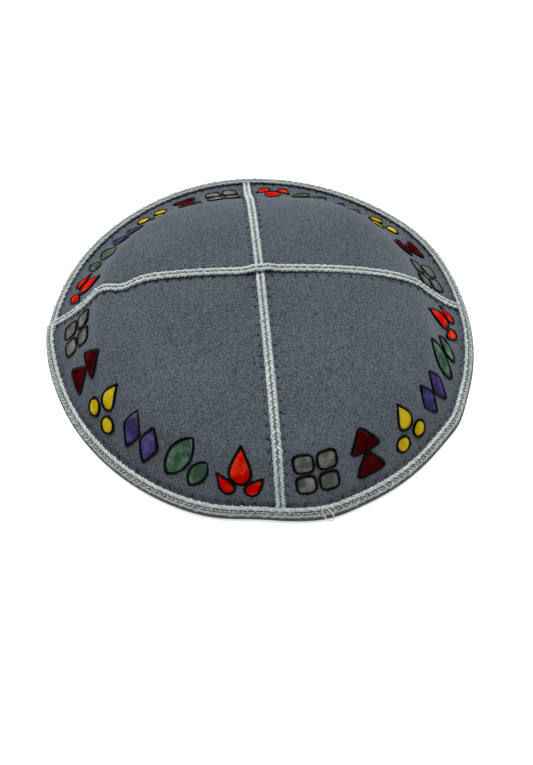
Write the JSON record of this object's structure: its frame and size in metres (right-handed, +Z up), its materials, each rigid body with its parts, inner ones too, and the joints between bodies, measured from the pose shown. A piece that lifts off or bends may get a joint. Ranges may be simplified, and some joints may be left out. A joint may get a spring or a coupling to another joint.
{
  "type": "kippah skullcap",
  "caption": "Shallow four-gore suede skullcap with pale braid over the crossed seams and folded round the hem, resting on its rim.",
  "frame": {"origin": "centre of the rim on the floor, within 3 mm of the point under the crossed seams", "axes": "+Z up out of the crown, -Y towards the near side in the picture, +X to the right"},
  "size_m": [0.1707, 0.17, 0.0337],
  "materials": {
    "suede": "matte slate blue-grey suede nap",
    "braid": "satin pale grey-green rayon braid"
  },
  "bodies": {
    "root": {"panel_front_left": "suede", "panel_front_right": "suede", "panel_back_left": "suede", "panel_back_right": "suede", "seam_braid_front_back": "braid", "seam_braid_left_right": "braid", "hem_binding": "braid"}
  },
  "joints": []
}
